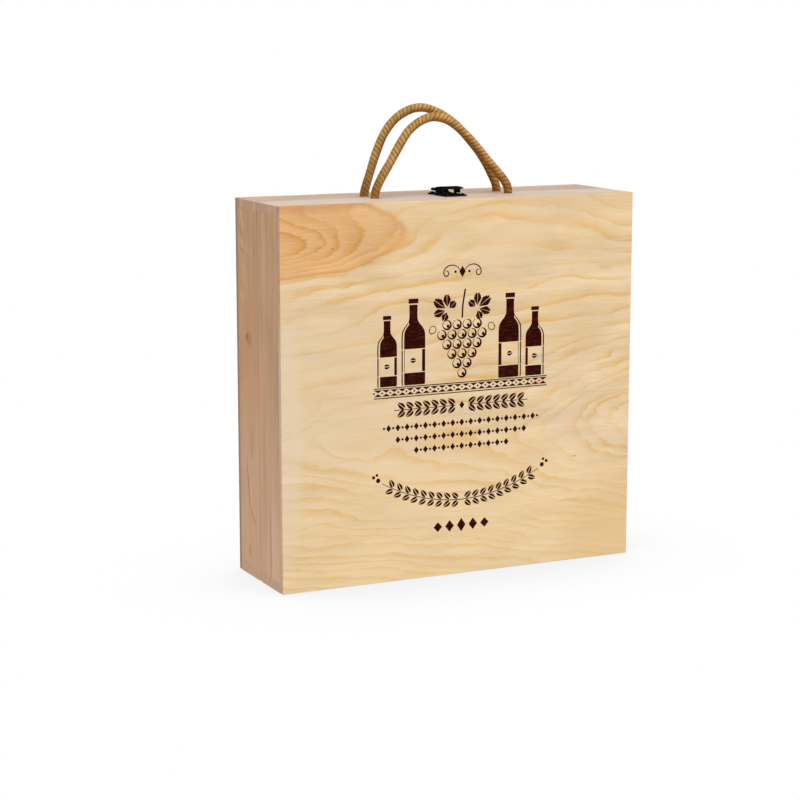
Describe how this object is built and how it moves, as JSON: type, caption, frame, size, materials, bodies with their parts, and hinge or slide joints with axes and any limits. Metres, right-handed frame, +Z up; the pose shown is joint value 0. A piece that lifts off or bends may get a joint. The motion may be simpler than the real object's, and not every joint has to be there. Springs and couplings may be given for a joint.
{
  "type": "hinged wooden bottle gift box",
  "caption": "Upright hinged pine case for standing bottles, with notched rests inside, two rope handles and a draw latch on top.",
  "frame": {"origin": "on the floor, in the seam between the two halves, under the middle of the box", "axes": "+X right, -Y the printed front, +Z up towards the handles"},
  "size_m": [0.355, 0.105, 0.4268],
  "materials": {
    "panel_pine": "sanded pale pine, unvarnished",
    "board_pine": "sanded pine, unvarnished",
    "rest_pine": "sawn pine",
    "hinge_metal": "plated steel, satin",
    "latch_metal": "black, semi-gloss, worn bright on its edges",
    "rope": "laid plant fibre rope",
    "print_ink": "dark red ink printed on the pine"
  },
  "bodies": {
    "back_half": {"back_panel": "panel_pine", "back_top_board": "board_pine", "back_bottom_board": "board_pine", "back_left_board": "board_pine", "back_right_board": "board_pine", "back_base_rest": "rest_pine", "back_neck_rest": "rest_pine", "left_hinge_back_leaf": "hinge_metal", "left_hinge_pin": "hinge_metal", "left_hinge_back_screw_1": "hinge_metal", "left_hinge_back_screw_2": "hinge_metal", "right_hinge_back_leaf": "hinge_metal", "right_hinge_pin": "hinge_metal", "right_hinge_back_screw_1": "hinge_metal", "right_hinge_back_screw_2": "hinge_metal", "latch_catch": "latch_metal", "latch_catch_screw_1": "latch_metal", "latch_catch_screw_2": "latch_metal", "back_rope_left_end": "rope", "back_rope_right_end": "rope"},
    "front_half": {"front_panel": "panel_pine", "front_top_board": "board_pine", "front_bottom_board": "board_pine", "front_left_board": "board_pine", "front_right_board": "board_pine", "front_base_rest": "rest_pine", "front_neck_rest": "rest_pine", "left_hinge_front_leaf": "hinge_metal", "left_hinge_front_screw_1": "hinge_metal", "left_hinge_front_screw_2": "hinge_metal", "right_hinge_front_leaf": "hinge_metal", "right_hinge_front_screw_1": "hinge_metal", "right_hinge_front_screw_2": "hinge_metal", "latch_base_plate": "latch_metal", "latch_left_rivet": "latch_metal", "latch_right_rivet": "latch_metal", "latch_base_screw_1": "latch_metal", "latch_base_screw_2": "latch_metal", "front_rope_left_end": "rope", "front_rope_right_end": "rope"},
    "latch_lever": {"latch_lever": "latch_metal"},
    "latch_loop": {"latch_loop": "latch_metal"},
    "back_handle": {"back_rope": "rope"},
    "front_handle": {"front_rope": "rope"}
  },
  "joints": [
    {"name": "lid_swing", "type": "hinge", "parent": "back_half", "child": "front_half", "pos_m": [0, 0, 0.0017], "axis": [1, 0, 0], "range_deg": [0, 120]},
    {"name": "latch_lift", "type": "hinge", "parent": "front_half", "child": "latch_lever", "pos_m": [0.007, -0.0095, 0.3501], "axis": [-1, 0, 0], "range_deg": [0, 110]},
    {"name": "latch_loop_turn", "type": "hinge", "parent": "latch_lever", "child": "latch_loop", "pos_m": [0.007, -0.0135, 0.3501], "axis": [-1, 0, 0], "range_deg": [-110, 0]},
    {"name": "back_handle_swing", "type": "hinge", "parent": "back_half", "child": "back_handle", "pos_m": [0, 0.0115, 0.3492], "axis": [-1, 0, 0], "range_deg": [-10, 62], "stiffness_Nm_per_rad": 0.03},
    {"name": "front_handle_swing", "type": "hinge", "parent": "front_half", "child": "front_handle", "pos_m": [0, -0.0115, 0.3492], "axis": [1, 0, 0], "range_deg": [-5, 78], "stiffness_Nm_per_rad": 0.03}
  ],
  "couplings": [
    {"joint": "latch_loop_turn", "follows": "latch_lift", "ratio": -1}
  ]
}
